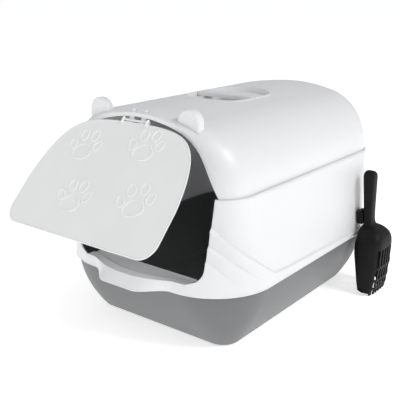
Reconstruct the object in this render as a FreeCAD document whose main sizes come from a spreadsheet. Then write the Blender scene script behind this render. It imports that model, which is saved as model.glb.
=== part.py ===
import FreeCAD, Part
import math
import os
import Sketcher

V = FreeCAD.Vector
doc = FreeCAD.newDocument("cat_litter_box_with_hood")

# ---------------------------------------------------------------- driving sizes
# Millimetres and degrees. X is across the box, -Y is the entry side, Z is up.
SIZES = [
    ("rim_half_w", 200, "half width of the box at the tray rim"),
    ("rim_half_l", 270, "half length of the box at the tray rim"),
    ("rim_z", 111, "height of the joint between grey tray and white frame"),
    ("rim_r", 112, "plan corner radius at the rim"),
    ("base_half_w", 146, "half width of the tray floor"),
    ("base_half_l", 201, "half length of the tray floor"),
    ("base_r", 28, "plan corner radius of the tray floor"),
    ("belly_out", 9, "how far the tray wall bulges outside a straight flare"),
    ("seam_half_w", 180, "half width of the hood at its lower edge"),
    ("seam_half_l", 245, "half length of the hood at its lower edge"),
    ("seam_z", 269, "height of the joint between frame and hood"),
    ("seam_r", 52, "plan corner radius at the hood joint"),
    ("roof_z", 388, "height of the roof crown"),
    ("crown_r", 450, "crown radius of the roof"),
    ("shoulder_r", 100, "shoulder radius of the hood section"),
    ("lean", 5, "inward lean of the hood sides, degrees"),
    ("wall", 3, "wall thickness of the mouldings"),
    ("fit", 0.5, "gap between one shell and the next"),
    ("lap", 7, "depth one shell sinks into the next"),
    ("ledge", 8, "width of the seating ledges"),
    ("door_half_w", 151, "half width of the entry in the frame at the hood joint"),
    ("door_low_w", 140, "half width of the entry above the sill corners"),
    ("door_hood_w", 157, "half width of the entry at the foot of the hood"),
    ("door_top", "=roof_z - 10", "height of the top of the entry"),
    ("door_r", 85, "shoulder radius of the entry"),
    ("door_crown", 260, "crown radius of the entry"),
    ("door_lean", 23, "inward lean of the entry sides in the hood, degrees"),
    ("sill_z", 130, "height of the entry sill"),
    ("sill_r", 30, "corner radius of the entry at the sill"),
    ("lip", 6, "width of the rim around the entry"),
    ("nose_len", 50, "length of the rounded ends of the hood"),
    ("porch_out", 37, "how far the porch stands out of the rim"),
    ("porch_half_w", 86, "half width of the porch at the rim"),
    ("porch_top_w", 104, "half width of the porch at the sill"),
    ("porch_top_out", 23, "how far the porch stands out at the sill"),
    ("porch_r", 33, "hollow radius where the porch meets the frame"),
    ("sill_back", 233, "distance of the back edge of the sill in front of the centre"),
    ("hinge_y", 248, "distance of the flap hinge in front of the centre"),
    ("hinge_z", "=roof_z - 16", "height of the flap hinge"),
    ("pin_r", 2, "radius of the flap pin"),
    ("pin_fit", 0.06, "radial running gap of the flap on its pin"),
    ("pin_half", 28, "half length of the flap pin"),
    ("flap_half_w", 155, "half width of the flap"),
    ("flap_len", 212, "reach of the flap below its hinge"),
    ("flap_t", 2.4, "thickness of the flap"),
    ("flap_gap", 6, "drop from the pin to the top edge of the flap"),
    ("flap_r", 95, "shoulder radius of the flap"),
    ("flap_crown", 400, "crown radius of the flap"),
    ("flap_lean", 2, "inward lean of the flap sides, degrees"),
    ("flap_corner", 24, "radius of the lower flap corners"),
    ("arm_x", 25.5, "distance of a flap arm from the middle"),
    ("arm_half", 2, "half width of a flap arm"),
    ("flap_open", 44, "opening of the flap from hanging straight down"),
    ("ear_x", 94, "distance of an ear from the middle"),
    ("ear_r", 21.5, "radius of an ear"),
    ("ear_z", "=roof_z - 11", "height of the centre of an ear"),
    ("ear_t", 15, "depth of an ear, front to back"),
    ("ear_back", 9, "setback of the ears behind the entry rim"),
    ("ear_round", 4, "rounding of the ear edges"),
    ("clip_x", 12.7, "distance of a hinge clip from the middle"),
    ("clip_half", 6.3, "half width of a hinge clip"),
    ("prong_back", 10, "how far the prong stands behind the pin"),
    ("prong_t", 4, "thickness of the prong"),
    ("prong_half", 3, "half width of the prong"),
    ("dish_half_w", 62, "half width of the handle dish"),
    ("dish_half_l", 84, "half length of the handle dish"),
    ("dish_deep", 11, "depth of the handle dish"),
    ("well_deep", 26, "depth of the finger well"),
    ("well_half_w", 46, "half width of the finger well"),
    ("well_half_l", 34, "half length of the finger well"),
    ("grip_half_w", 13, "half width of the grip bar"),
    ("grip_t", 7, "thickness of the grip bar"),
    ("scoop_y", 169, "distance of the scoop behind the centre"),
    ("hook_z", 146, "height of the middle of the scoop holder"),
    ("hook_half_w", 13, "half width of the scoop holder"),
    ("hook_half_h", 12, "half height of the scoop holder"),
    ("hook_x", 209.5, "outer face of the scoop holder"),
    ("blade_t", 3, "thickness of the blade on the scoop"),
    ("blade_fit", 0.6, "gap around the blade in its holder"),
    ("stand_off", 1, "gap between the holder and the scoop handle"),
    ("bowl_half_w", 41, "half width of the scoop bowl"),
    ("bowl_deep", 46, "depth of the scoop bowl"),
    ("bowl_len", 131, "length of the scoop bowl"),
    ("bowl_wall", 2.6, "wall of the scoop bowl"),
    ("slot_pitch", 11.4, "spacing of the sifting slots"),
    ("slot_w", 5.6, "width of a sifting slot"),
    ("shaft_half_w", 11, "half width of the scoop handle"),
    ("shaft_t", 15, "thickness of the scoop handle"),
    ("shaft_len", 106, "length of the scoop handle above its neck"),
]
dims = doc.addObject("Spreadsheet::Sheet", "dims")
for row, (alias, value, meaning) in enumerate(SIZES, start=1):
    dims.set("A%d" % row, meaning)
    dims.set("B%d" % row, str(value))
    dims.setAlias("B%d" % row, alias)
doc.recompute()


# ---------------------------------------------------------------- small tools
def origin_plane(body, role):
    """The named origin plane of a body."""
    for item in body.Origin.OriginFeatures:
        if item.Role == role:
            return item


def new_body(label):
    """An empty body whose label is the node name."""
    body = doc.addObject("PartDesign::Body", label)
    body.Label = label
    return body


def new_sketch(body, name, role, offset):
    """A sketch on an origin plane, moved along its normal by an expression."""
    sk = body.newObject("Sketcher::SketchObject", name)
    sk.AttachmentSupport = [(origin_plane(body, role), "")]
    sk.MapMode = "FlatFace"
    sk.setExpression(".AttachmentOffset.Base.z", offset)
    return sk


def size_of(sk, expression):
    """Present value of an expression, as a plain number."""
    value = sk.evalExpression(expression)
    return float(getattr(value, "Value", value))


def fix(sk, kind, *args):
    """Add a driving constraint; the last argument is its expression."""
    expression = args[-1]
    value = size_of(sk, expression)
    index = sk.addConstraint(Sketcher.Constraint(kind, *args[:-1], value))
    sk.setExpression("Constraints[%d]" % index, expression)


def tie(sk, *pairs):
    """Add constraints that have no size."""
    for pair in pairs:
        sk.addConstraint(Sketcher.Constraint(*pair))


def line(sk, x0, y0, x1, y1):
    return sk.addGeometry(Part.LineSegment(V(x0, y0, 0), V(x1, y1, 0)), False)


def arc(sk, x, y, r, start, end):
    circle = Part.Circle(V(x, y, 0), V(0, 0, 1), r)
    return sk.addGeometry(Part.ArcOfCircle(circle, start, end), False)


def rounded_box(sk, left, right, low, high, radius):
    """Rectangle with equal round corners; every argument is an expression."""
    x0, x1, y0, y1, r = (size_of(sk, e) for e in (left, right, low, high, radius))
    quarter = math.pi / 2
    line(sk, x0 + r, y0, x1 - r, y0)
    arc(sk, x1 - r, y0 + r, r, -quarter, 0)
    line(sk, x1, y0 + r, x1, y1 - r)
    arc(sk, x1 - r, y1 - r, r, 0, quarter)
    line(sk, x1 - r, y1, x0 + r, y1)
    arc(sk, x0 + r, y1 - r, r, quarter, 2 * quarter)
    line(sk, x0, y1 - r, x0, y0 + r)
    arc(sk, x0 + r, y0 + r, r, 2 * quarter, 3 * quarter)
    for k in range(8):
        tie(sk, ("Tangent", k, 2, (k + 1) % 8, 1))
    tie(sk, ("Horizontal", 0), ("Vertical", 2), ("Horizontal", 4), ("Vertical", 6))
    tie(sk, ("Equal", 1, 3), ("Equal", 1, 5), ("Equal", 1, 7))
    fix(sk, "Radius", 1, radius)
    fix(sk, "DistanceY", -1, 1, 0, 1, low)
    fix(sk, "DistanceX", -1, 1, 2, 1, right)
    fix(sk, "DistanceY", -1, 1, 4, 1, high)
    fix(sk, "DistanceX", -1, 1, 6, 1, left)


def arch(sk, half_w, low, top, shoulder, crown, lean):
    """Arch section: leaning sides, round shoulders and a flat crown arc."""
    w, z0, z1, r, rc, tilt = (
        size_of(sk, e) for e in (half_w, low, top, shoulder, crown, lean)
    )
    tilt = math.radians(tilt)
    cz = z1 - rc
    up = (-math.sin(tilt), math.cos(tilt))
    sx, sz = w - r * math.cos(tilt), z0 - r * math.sin(tilt)
    b = sx * up[0] + (sz - cz) * up[1]
    c = sx ** 2 + (sz - cz) ** 2 - (rc - r) ** 2
    t = -b + math.sqrt(b * b - c)
    ax, az = sx + t * up[0], sz + t * up[1]
    turn = math.atan2(az - cz, ax)
    px, pz = ax + r * math.cos(tilt), az + r * math.sin(tilt)
    line(sk, -w, z0, w, z0)
    line(sk, w, z0, px, pz)
    arc(sk, ax, az, r, tilt, turn)
    arc(sk, 0, cz, rc, turn, math.pi - turn)
    arc(sk, -ax, az, r, math.pi - turn, math.pi - tilt)
    line(sk, -px, pz, -w, z0)
    tie(sk, ("Coincident", 0, 2, 1, 1), ("Coincident", 5, 2, 0, 1))
    tie(sk, ("Tangent", 1, 2, 2, 1), ("Tangent", 2, 2, 3, 1))
    tie(sk, ("Tangent", 3, 2, 4, 1), ("Tangent", 4, 2, 5, 1))
    tie(sk, ("Horizontal", 0), ("PointOnObject", 3, 3, -2), ("Equal", 2, 4))
    fix(sk, "DistanceX", -1, 1, 0, 2, half_w)
    fix(sk, "DistanceX", -1, 1, 0, 1, "-(%s)" % half_w)
    fix(sk, "DistanceY", -1, 1, 0, 1, low)
    fix(sk, "Radius", 3, crown)
    fix(sk, "DistanceY", -1, 1, 3, 3, "(%s) - (%s)" % (top, crown))
    fix(sk, "Radius", 2, shoulder)
    for k, sign in ((1, ""), (5, "-")):
        index = sk.addConstraint(
            Sketcher.Constraint("Angle", k, (1 if k == 1 else -1) * (math.pi / 2 + tilt))
        )
        sk.setExpression("Constraints[%d]" % index, "%s(90 deg + (%s) * 1 deg)" % (sign, lean))


def pad(body, sk, length, name, reverse=False, midplane=False):
    feature = body.newObject("PartDesign::Pad", name)
    feature.Profile = sk
    feature.setExpression("Length", length)
    feature.Reversed = reverse
    feature.Midplane = midplane
    sk.Visibility = False
    doc.recompute()
    return feature


def pocket(body, sk, length, name, reverse=False, midplane=False):
    feature = body.newObject("PartDesign::Pocket", name)
    feature.Profile = sk
    feature.setExpression("Length", length)
    feature.Reversed = reverse
    feature.Midplane = midplane
    sk.Visibility = False
    doc.recompute()
    return feature


def loft(body, sections, name, cut=False, ruled=False):
    kind = "PartDesign::SubtractiveLoft" if cut else "PartDesign::AdditiveLoft"
    feature = body.newObject(kind, name)
    feature.Profile = sections[0]
    feature.Sections = sections[1:]
    feature.Ruled = ruled
    doc.recompute()
    return feature


def round_edges(body, base, radius, name, keep):
    """Fillet the edges of a feature whose midpoint passes the test keep."""
    names = []
    for k, edge in enumerate(base.Shape.Edges, start=1):
        middle = edge.valueAt((edge.FirstParameter + edge.LastParameter) / 2)
        if keep(edge, middle):
            names.append("Edge%d" % k)
    feature = body.newObject("PartDesign::Fillet", name)
    feature.Base = (base, names)
    feature.setExpression("Radius", radius)
    doc.recompute()
    return feature


def combine(body, tools, kind, name):
    """Boolean of finished tool bodies into a body."""
    feature = body.newObject("PartDesign::Boolean", name)
    feature.setObjects(tools)
    feature.Type = kind
    doc.recompute()
    return feature


# ---------------------------------------------------------------- tray
# Grey litter pan: a flared bowl with a bellied wall and a level seating rim.
TRAY_TOP = "dims.rim_z + dims.lap"


def tray_sections(body, inset, lift, top):
    """Three level outlines of the pan, moved inward by inset."""
    gap = "dims.wall + dims.fit + 1 + (%s)" % inset
    mid_w = "(dims.rim_half_w + dims.base_half_w) / 2 + dims.belly_out"
    mid_l = "(dims.rim_half_l + dims.base_half_l) / 2 + dims.belly_out"
    mid_r = "(dims.rim_r + dims.base_r) / 2 + dims.belly_out"
    rows = [
        ("foot", lift, "dims.base_half_w", "dims.base_half_l", "dims.base_r", inset),
        ("belly", "dims.rim_z / 2", mid_w, mid_l, mid_r, inset),
        ("brim", top, "dims.rim_half_w", "dims.rim_half_l", "dims.rim_r", gap),
    ]
    made = []
    for name, z, w, l, r, off in rows:
        sk = new_sketch(body, name, "XY_Plane", z)
        w, l, r = ("(%s) - (%s)" % (e, off) for e in (w, l, r))
        rounded_box(sk, "-(%s)" % w, w, "-(%s)" % l, l, r)
        made.append(sk)
    return made


tray = new_body("tray")
loft(tray, tray_sections(tray, "0", "0", TRAY_TOP), "pan")
loft(tray, tray_sections(tray, "dims.wall", "dims.wall", TRAY_TOP), "hollow", cut=True)


# ---------------------------------------------------------------- lower frame
# White middle shell: hangs over the tray rim and carries the porch and sill.
def frame_sections(body, inset, low, high):
    """The two level outlines of the frame wall, moved inward by inset."""
    top = "dims.wall + dims.fit"
    rows = [
        ("skirt", low, "dims.rim_half_w", "dims.rim_half_l", "dims.rim_r"),
        (
            "collar",
            high,
            "dims.seam_half_w + %s" % top,
            "dims.seam_half_l + %s" % top,
            "dims.seam_r + %s" % top,
        ),
    ]
    made = []
    for name, z, w, l, r in rows:
        sk = new_sketch(body, name + inset[-4:], "XY_Plane", z)
        w, l, r = ("%s - (%s)" % (e, inset) for e in (w, l, r))
        rounded_box(sk, "-(%s)" % w, w, "-(%s)" % l, l, r)
        made.append(sk)
    return made


def ring(body, name, z, thick, outer, inner):
    """Level ledge between two outlines given as (half width, half length, radius)."""
    sk = new_sketch(body, name, "XY_Plane", z)
    w, l, r = outer
    rounded_box(sk, "-(%s)" % w, w, "-(%s)" % l, l, r)
    pad(body, sk, thick, name + "_pad")
    sk = new_sketch(body, name + "_hole", "XY_Plane", z)
    w, l, r = inner
    rounded_box(sk, "-(%s)" % w, w, "-(%s)" % l, l, r)
    pocket(body, sk, thick, name + "_cut", reverse=True)


def bump(sk, half_w, base, out, hollow, behind):
    """Porch outline: a round bulge that runs into a straight front."""
    w, y0, h, r, back = (size_of(sk, e) for e in (half_w, base, out, hollow, behind))
    big = (w * w + h * h) / (2 * h) - r
    turn = math.atan2(w, big + r - h)
    nx, ny = big * math.sin(turn), -y0 - h + big - big * math.cos(turn)
    right = math.pi / 2
    line(sk, -w, back, -w, -y0)
    arc(sk, -w, -y0 - r, r, right - turn, right)
    arc(sk, 0, -y0 - h + big, big, 3 * right - turn, 3 * right + turn)
    arc(sk, w, -y0 - r, r, right, right + turn)
    line(sk, w, -y0, w, back)
    line(sk, w, back, -w, back)
    tie(sk, ("Coincident", 0, 2, 1, 2), ("Tangent", 1, 1, 2, 1), ("Tangent", 2, 2, 3, 2))
    tie(sk, ("Coincident", 3, 1, 4, 1), ("Coincident", 4, 2, 5, 1), ("Coincident", 5, 2, 0, 1))
    tie(sk, ("Vertical", 0), ("Vertical", 4), ("Horizontal", 5), ("Equal", 1, 3))
    fix(sk, "Radius", 1, hollow)
    fix(sk, "DistanceX", -1, 1, 1, 3, "-(%s)" % half_w)
    fix(sk, "DistanceX", -1, 1, 1, 2, "-(%s)" % half_w)
    fix(sk, "DistanceX", -1, 1, 3, 3, half_w)
    fix(sk, "DistanceX", -1, 1, 3, 1, half_w)
    fix(sk, "DistanceY", -1, 1, 1, 3, "-(%s) - (%s)" % (base, hollow))
    fix(sk, "DistanceY", -1, 1, 3, 3, "-(%s) - (%s)" % (base, hollow))
    fix(sk, "DistanceY", -1, 1, 5, 1, behind)
    size = "((%s)^2 + (%s)^2) / (2 * (%s)) - (%s)" % (half_w, out, out, hollow)
    fix(sk, "Radius", 2, size)


def doorway(sk):
    """Entry profile in the frame: flat sill, round corners, leaning sides."""
    w, low_w, z0, z1, r = (
        size_of(sk, e)
        for e in (
            "dims.door_half_w",
            "dims.door_low_w",
            "dims.sill_z",
            "dims.seam_z + dims.wall",
            "dims.sill_r",
        )
    )
    quarter = math.pi / 2
    line(sk, -low_w + r, z0, low_w - r, z0)
    arc(sk, low_w - r, z0 + r, r, -quarter, 0)
    line(sk, low_w, z0 + r, w, z1)
    line(sk, w, z1, -w, z1)
    line(sk, -w, z1, -low_w, z0 + r)
    arc(sk, -low_w + r, z0 + r, r, 2 * quarter, 3 * quarter)
    tie(sk, ("Tangent", 0, 2, 1, 1), ("Tangent", 1, 2, 2, 1), ("Coincident", 2, 2, 3, 1))
    tie(sk, ("Coincident", 3, 2, 4, 1), ("Tangent", 4, 2, 5, 1), ("Tangent", 5, 2, 0, 1))
    tie(sk, ("Horizontal", 0), ("Horizontal", 3), ("Equal", 1, 5))
    fix(sk, "Radius", 1, "dims.sill_r")
    fix(sk, "DistanceX", -1, 1, 1, 3, "dims.door_low_w - dims.sill_r")
    fix(sk, "DistanceX", -1, 1, 5, 3, "-dims.door_low_w + dims.sill_r")
    fix(sk, "DistanceY", -1, 1, 0, 1, "dims.sill_z")
    fix(sk, "DistanceX", -1, 1, 2, 2, "dims.door_half_w")
    fix(sk, "DistanceX", -1, 1, 3, 2, "-dims.door_half_w")
    fix(sk, "DistanceY", -1, 1, 2, 2, "dims.seam_z + dims.wall")


frame = new_body("lower_frame")
loft(frame, frame_sections(frame, "0", "dims.rim_z", "dims.seam_z"), "shell", ruled=True)
porch_low = new_sketch(frame, "porch_low", "XY_Plane", "dims.rim_z")
bump(porch_low, "dims.porch_half_w", "dims.rim_half_l - 1", "dims.porch_out + 1",
     "dims.porch_r", "-dims.rim_half_l + 20")
porch_high = new_sketch(frame, "porch_high", "XY_Plane", "dims.sill_z")
bump(porch_high, "dims.porch_top_w", "dims.rim_half_l - 4", "dims.porch_top_out + 1",
     "dims.porch_r", "-dims.rim_half_l + 20")
loft(frame, [porch_low, porch_high], "porch", ruled=True)

loft(frame, frame_sections(frame, "dims.wall", "dims.rim_z", "dims.seam_z"), "room",
     cut=True, ruled=True)
ring(
    frame,
    "seat",
    "dims.rim_z + dims.lap + dims.fit / 5",
    "dims.wall",
    ["dims.%s - dims.wall / 2 - 0.6" % k for k in ("rim_half_w", "rim_half_l", "rim_r")],
    ["dims.%s - dims.wall - dims.ledge" % k for k in ("rim_half_w", "rim_half_l", "rim_r")],
)
ring(
    frame,
    "shelf",
    "dims.seam_z - dims.lap - dims.wall - dims.fit / 5",
    "dims.wall",
    ["dims.%s + dims.wall / 2 + dims.fit" % k for k in ("seam_half_w", "seam_half_l", "seam_r")],
    ["dims.%s - dims.ledge" % k for k in ("seam_half_w", "seam_half_l", "seam_r")],
)
plate = new_sketch(frame, "sill_plate", "XY_Plane", "dims.sill_z - dims.wall")
rounded_box(plate, "-dims.door_low_w + 6", "dims.door_low_w - 6",
            "-dims.rim_half_l + 4", "-dims.sill_back", "dims.wall * 2")
pad(frame, plate, "dims.wall", "sill")
under = new_sketch(frame, "under_low", "XY_Plane", "dims.rim_z")
bump(under, "dims.porch_half_w", "dims.rim_half_l + dims.wall", "dims.porch_out - dims.wall * 2",
     "dims.porch_r", "-dims.rim_half_l + 1")
over = new_sketch(frame, "under_high", "XY_Plane", "dims.sill_z - dims.wall")
bump(over, "dims.porch_top_w", "dims.rim_half_l - 1", "dims.porch_top_out - dims.wall - 1",
     "dims.porch_r", "-dims.rim_half_l + 3")
loft(frame, [under, over], "porch_hollow", cut=True, ruled=True)
door = new_sketch(frame, "doorway", "XZ_Plane", "dims.rim_half_l + dims.porch_out + 5")
doorway(door)
pocket(frame, door, "dims.rim_half_l + dims.porch_out + 5 - dims.seam_half_l + 45", "entry")

# ---------------------------------------------------------------- upper hood
# White dome: leaning sides, round shoulders, both ends drawn in; open below
# and in front, where its edge is the upper part of the entry.
FOOT = "dims.seam_z - dims.lap"


def hood_form(body, inset):
    """Solid form of the hood, moved inward by inset."""
    middle = ["dims.seam_half_w - (%s)" % inset, FOOT, "dims.roof_z - (%s)" % inset,
              "dims.shoulder_r - (%s)" % inset, "dims.crown_r - (%s)" % inset, "dims.lean"]
    shoulder = ["dims.seam_half_w - 8 - (%s)" % inset, FOOT, "dims.roof_z - 1.5 - (%s)" % inset,
                "dims.shoulder_r - 3 - (%s)" % inset, "dims.crown_r - 60 - (%s)" % inset,
                "dims.lean + 5"]
    mouth = ["dims.door_hood_w + dims.wall - (%s)" % inset, FOOT,
             "dims.door_top + dims.lip - 2 * (%s)" % inset,
             "dims.door_r + dims.lip - 2 * (%s)" % inset,
             "dims.door_crown + dims.lip - 2 * (%s)" % inset, "dims.door_lean"]
    flat = "dims.seam_half_l - dims.nose_len"
    sk = new_sketch(body, "middle", "XZ_Plane", flat)
    arch(sk, *middle)
    pad(body, sk, "2 * (%s)" % flat, "barrel", reverse=True)
    for name, sign, cut_back in (("nose", "", "0"), ("tail", "-", inset)):
        rows = (
            (middle, "%s(%s)" % (sign, flat)),
            (shoulder, "%s(%s + dims.nose_len * 0.62)" % (sign, flat)),
            (mouth, "%s(dims.seam_half_l - (%s))" % (sign, cut_back)),
        )
        sections = []
        for k, (shape, offset) in enumerate(rows):
            sk = new_sketch(body, "%s%d" % (name, k), "XZ_Plane", offset)
            arch(sk, *shape)
            sections.append(sk)
        loft(body, sections, name)
    cutter = new_body(body.Name + "_plan")
    sk = new_sketch(cutter, "plan", "XY_Plane", FOOT)
    w, l, r = ("dims.%s - (%s)" % (e, inset) for e in ("seam_half_w", "seam_half_l", "seam_r"))
    rounded_box(sk, "-(%s)" % w, w, "-(%s)" % l, l, r)
    pad(cutter, sk, "dims.roof_z", "prism")
    combine(body, [cutter], "Common", "trim")


hood = new_body("upper_hood")
hood_form(hood, "0")
core = new_body("hood_core")
hood_form(core, "dims.wall")
combine(hood, [core], "Cut", "shell")
mouth = new_sketch(hood, "mouth", "XZ_Plane", "dims.seam_half_l + 5")
arch(mouth, "dims.door_hood_w", FOOT, "dims.door_top", "dims.door_r", "dims.door_crown",
     "dims.door_lean")
pocket(hood, mouth, "30", "mouth_cut")
outline = ["-dims.dish_half_w", "dims.dish_half_w", "-dims.dish_half_l", "dims.dish_half_l",
           "dims.dish_half_w - 3"]
grown = ["%s %s dims.wall" % (e, "-" if e.startswith("-") else "+") for e in outline]
well = ["-dims.well_half_w", "dims.well_half_w", "-dims.well_half_l", "dims.well_half_l", "12"]
well_grown = ["%s %s dims.wall" % (e, "-" if e.startswith("-") else "+") for e in well]
DISH = "dims.roof_z - dims.dish_deep"
for name, shape, low, high in (
    ("well_cup", well_grown, "%s - dims.well_deep - dims.wall" % DISH, DISH + " - 1"),
    ("dish_cup", grown, "%s - dims.wall" % DISH, "dims.roof_z - 2.5"),
):
    sk = new_sketch(hood, name, "XY_Plane", low)
    rounded_box(sk, *shape)
    pad(hood, sk, "(%s) - (%s)" % (high, low), name + "_pad")
for name, shape, low in (
    ("dish", outline, DISH),
    ("well", well, "%s - dims.well_deep" % DISH),
):
    sk = new_sketch(hood, name, "XY_Plane", "dims.roof_z + 5")
    rounded_box(sk, *shape)
    pocket(hood, sk, "dims.roof_z + 5 - (%s)" % low, name + "_cut")

for sign in (-1, 1):
    sk = new_sketch(hood, "clip_slot%d" % (sign + 1), "XY_Plane", "dims.roof_z + 5")
    x, y = "%d * dims.clip_x" % sign, "-dims.hinge_y + dims.prong_back"
    rounded_box(sk, "%s - dims.prong_half - 0.4" % x, "%s + dims.prong_half + 0.4" % x,
                "%s - 0.4" % y, "%s + dims.prong_t + 0.4" % y, "1")
    pocket(hood, sk, "30", "clip_slot%d_cut" % (sign + 1))


# ---------------------------------------------------------------- ears
# Two rounded ears: stadium plates seated on the shoulders of the hood.
ear_form = new_body("ear_form")
hood_form(ear_form, "0")
ears = []
for side, sign in (("left", "-"), ("right", "")):
    blank = new_body("ear_blank_" + side)
    sk = new_sketch(blank, "outline", "XZ_Plane", "dims.seam_half_l - dims.ear_back")
    x = "%sdims.ear_x" % sign
    rounded_box(sk, "%s - dims.ear_r" % x, "%s + dims.ear_r" % x,
                "dims.ear_z - 3 * dims.ear_r", "dims.ear_z + dims.ear_r", "dims.ear_r - 0.5")
    block = pad(blank, sk, "dims.ear_t", "plate", reverse=True)
    round_edges(blank, block, "dims.ear_round", "soft",
                lambda edge, mid: edge.Length > 20 and mid.z > size_of(sk, "dims.ear_z")
                and abs(edge.BoundBox.YLength) < 0.01)
    ear = doc.addObject("Part::Cut", "ear_" + side)
    ear.Base = blank
    ear.Tool = ear_form
    ear.Label = "ear_" + side
    ears.append(ear)
doc.recompute()


# ---------------------------------------------------------------- carry handle
# Grip bar that bridges the finger well and stands on the floor of the dish.
handle = new_body("carry_handle")
sk = new_sketch(handle, "bridge", "XZ_Plane", "-dims.grip_half_w")
half = "dims.dish_half_w - dims.fit"
rounded_box(sk, "-%s" % half.replace(" - ", " + "), half, DISH, "dims.roof_z - 2", "3")
bar = pad(handle, sk, "2 * dims.grip_half_w", "bar")
sk = new_sketch(handle, "finger_gap", "XZ_Plane", "-dims.grip_half_w - 1")
rounded_box(sk, "-dims.well_half_w", "dims.well_half_w",
            "%s - 20" % DISH, "dims.roof_z - 2 - dims.grip_t", "2")
pocket(handle, sk, "2 * dims.grip_half_w + 2", "gap", reverse=True)


# ---------------------------------------------------------------- flap hinge
# Two clips carry a straight pin in front of the entry rim; each clip has an
# arm under the roof and a prong that snaps up through a slot.
def hinge_clip(side, sign):
    body = new_body("hinge_clip_" + side)
    start = "%s * dims.clip_x + dims.clip_half" % sign
    rows = (
        ("block", "-dims.hinge_y - 4.5", "-dims.hinge_y + dims.prong_back + dims.prong_t + 1.5",
         "dims.hinge_z - 4.5", "dims.door_top - 1.5", "dims.clip_half"),
        ("prong", "-dims.hinge_y + dims.prong_back",
         "-dims.hinge_y + dims.prong_back + dims.prong_t",
         "dims.door_top - 3", "dims.roof_z", "dims.prong_half"),
        ("barb", "-dims.hinge_y + dims.prong_back - 2",
         "-dims.hinge_y + dims.prong_back + dims.prong_t + 2",
         "dims.roof_z - 0.8", "dims.roof_z + 2", "dims.clip_half - 1"),
    )
    for name, y0, y1, z0, z1, half_w in rows:
        sk = new_sketch(body, name, "YZ_Plane", "%s * dims.clip_x - (%s)" % (sign, half_w))
        rounded_box(sk, y0, y1, z0, z1, "0.8")
        pad(body, sk, "2 * (%s)" % half_w, name + "_pad")
    sk = new_sketch(body, "bore", "YZ_Plane", start)
    ring_of(sk, "dims.pin_r")
    pocket(body, sk, "2 * dims.clip_half", "bore_cut")
    return body


def ring_of(sk, radius, y="-dims.hinge_y", z="dims.hinge_z"):
    """Circle at the hinge axis on a YZ sketch."""
    cy, cz, r = (size_of(sk, e) for e in (y, z, radius))
    sk.addGeometry(Part.Circle(V(cy, cz, 0), V(0, 0, 1), r), False)
    fix(sk, "Radius", 0, radius)
    if y == "0":
        tie(sk, ("Coincident", 0, 3, -1, 1))
    else:
        fix(sk, "DistanceX", -1, 1, 0, 3, y)
        fix(sk, "DistanceY", -1, 1, 0, 3, z)


clips = [hinge_clip("left", "-1"), hinge_clip("right", "1")]
pin = new_body("hinge_pin")
sk = new_sketch(pin, "round", "YZ_Plane", "0")
ring_of(sk, "dims.pin_r")
pad(pin, sk, "2 * dims.pin_half", "rod", midplane=True)


# ---------------------------------------------------------------- entry flap
# Clear door, drawn hanging from the pin at the local origin, then turned open.
flap = new_body("entry_flap")
sk = new_sketch(flap, "outline", "XZ_Plane", "-dims.flap_t / 2")
arch(sk, "dims.flap_half_w", "-dims.flap_len", "-dims.flap_gap", "dims.flap_r",
     "dims.flap_crown", "dims.flap_lean")
plate = pad(flap, sk, "dims.flap_t", "plate")
low = size_of(sk, "-dims.flap_len")
plate = round_edges(flap, plate, "dims.flap_corner", "corners",
                    lambda edge, mid: abs(mid.z - low) < 0.01 and edge.Length < 10)
for sign in ("-1", "1"):
    name = "arm" + sign.replace("-", "_")
    sk = new_sketch(flap, name, "YZ_Plane", "%s * dims.arm_x - dims.arm_half" % sign)
    rounded_box(sk, "-dims.pin_r - 2.3", "dims.pin_r + 2.3", "-dims.flap_gap - 5",
                "dims.pin_r + 2.3", "dims.pin_r")
    pad(flap, sk, "2 * dims.arm_half", name + "_pad")
sk = new_sketch(flap, "pin_hole", "YZ_Plane", "0")
ring_of(sk, "dims.pin_r + dims.pin_fit", "0", "0")
pocket(flap, sk, "2 * dims.pin_half + 4", "pin_hole_cut", midplane=True)
flap.Placement.Rotation = FreeCAD.Rotation(V(1, 0, 0), -1)
flap.setExpression("Placement.Rotation.Angle", "-dims.flap_open * 1 deg")
flap.setExpression("Placement.Base.y", "-dims.hinge_y")
flap.setExpression("Placement.Base.z", "dims.hinge_z")
doc.recompute()


# ---------------------------------------------------------------- scoop holder
# Socket on the frame side, open at the top, trimmed to the leaning wall.
frame_form = new_body("frame_form")
loft(frame_form, frame_sections(frame_form, "0", "dims.rim_z", "dims.seam_z"), "solid",
     ruled=True)
socket = new_body("holder_blank")
sk = new_sketch(socket, "profile", "XZ_Plane", "-dims.scoop_y - dims.hook_half_w")
rounded_box(sk, "dims.rim_half_w - 15", "dims.hook_x", "dims.hook_z - dims.hook_half_h",
            "dims.hook_z + dims.hook_half_h", "2")
pad(socket, sk, "2 * dims.hook_half_w", "block")
sk = new_sketch(socket, "slot", "XY_Plane", "dims.hook_z + dims.hook_half_h")
BLADE_X = "dims.hook_x - 3.4 - dims.blade_fit"
rounded_box(sk, "%s - dims.blade_t - dims.blade_fit" % BLADE_X, "%s + dims.blade_fit" % BLADE_X,
            "dims.scoop_y - dims.hook_half_w + 4", "dims.scoop_y + dims.hook_half_w - 4", "0.6")
pocket(socket, sk, "2 * dims.hook_half_h - 3", "slot_cut")
holder = doc.addObject("Part::Cut", "scoop_holder")
holder.Base = socket
holder.Tool = frame_form
holder.Label = "scoop_holder"
doc.recompute()


# ---------------------------------------------------------------- scoop
# Sifting scoop, hung handle up: deep bowl open towards the box, slotted floor,
# straight handle, and a blade behind the neck that drops into the holder.
scoop = new_body("scoop")
NECK = "dims.hook_z - dims.hook_half_h - 1"
BACK = "dims.hook_x + dims.stand_off"


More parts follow.
